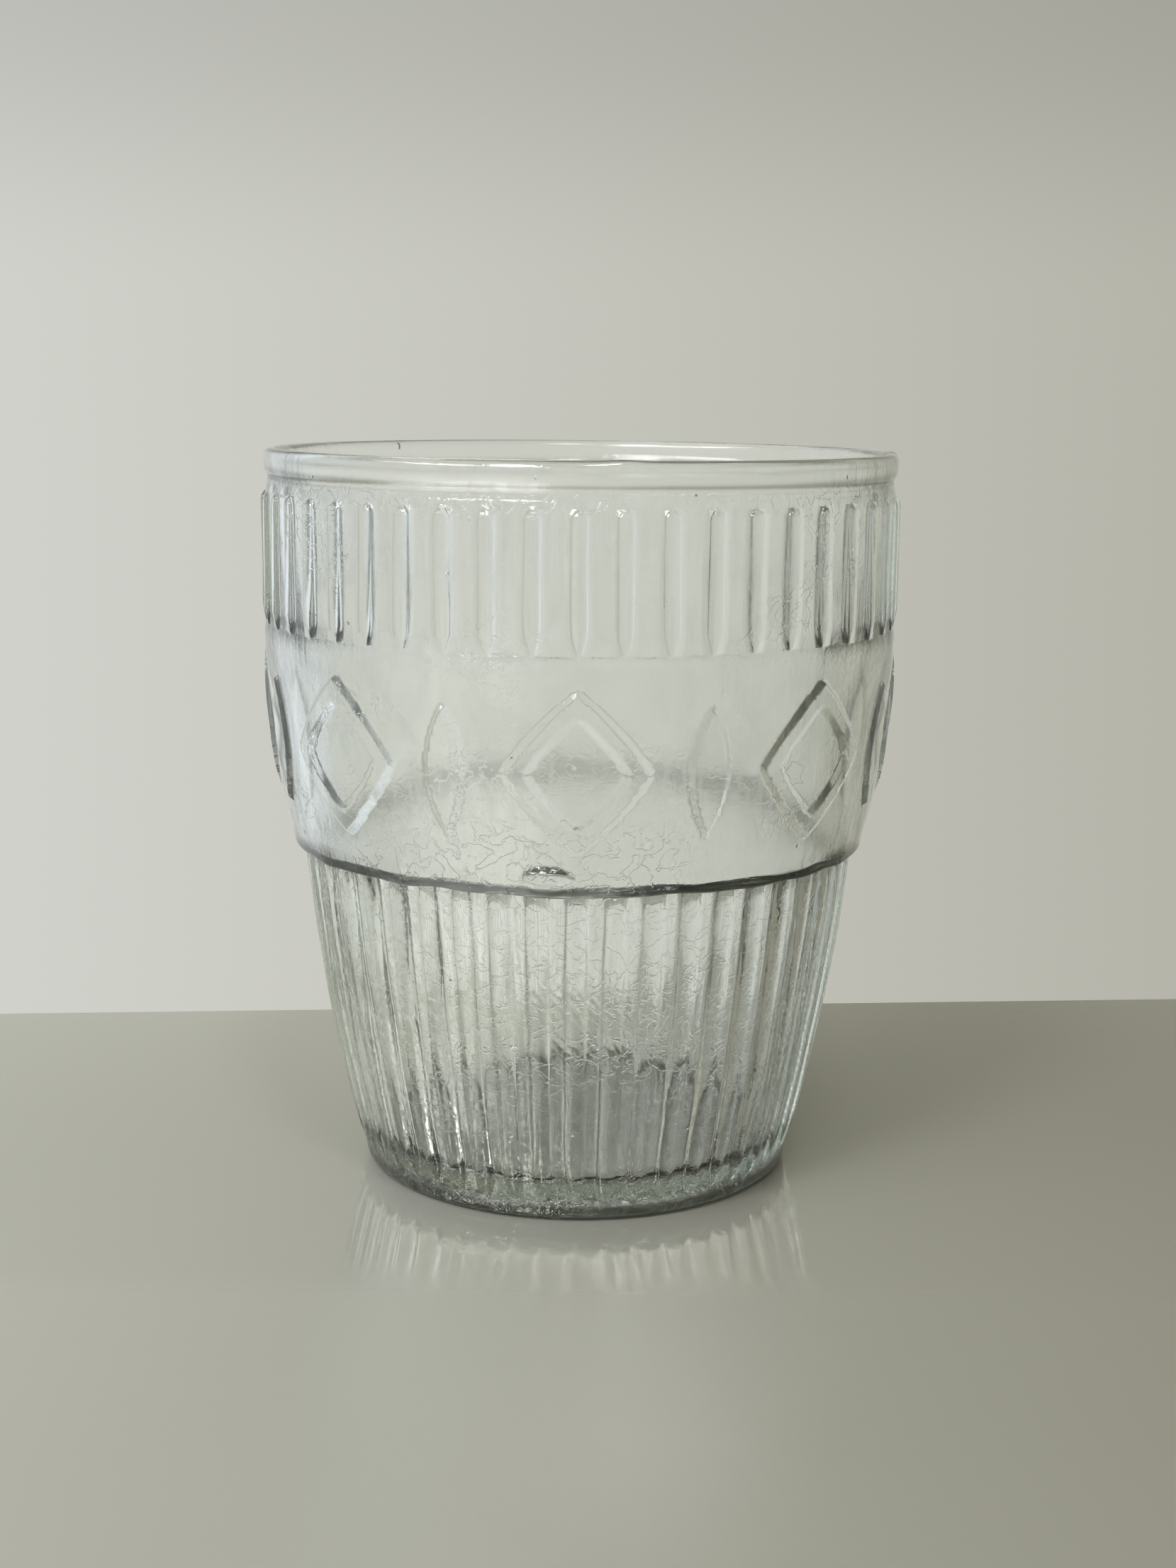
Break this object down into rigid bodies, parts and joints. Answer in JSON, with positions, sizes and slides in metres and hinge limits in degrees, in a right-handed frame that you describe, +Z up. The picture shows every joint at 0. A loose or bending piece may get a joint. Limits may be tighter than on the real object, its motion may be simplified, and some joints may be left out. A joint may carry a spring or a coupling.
{
  "type": "mixing glass",
  "caption": "Clear pressed-glass mixing vessel: rounded rim, band of short ribs, raised ornament, ledge, and a long ribbed wall tapering to a thick flat foot.",
  "frame": {"origin": "centre of the plane that the foot rests on", "axes": "+Z up along the axis of the glass, from the foot to the mouth"},
  "size_m": [0.1314, 0.1314, 0.15],
  "materials": {
    "glass": "clear pressed glass with a faint grey-green tint, glossy, slightly wavy, with fine chill wrinkles and seeds"
  },
  "bodies": {
    "root": {"foot_ring": "glass", "base_disc": "glass", "heel_ring": "glass", "ribbed_wall": "glass", "ledge_ring": "glass", "relief_band": "glass", "rib_band": "glass", "neck_band": "glass", "rim_bead": "glass"}
  },
  "joints": []
}
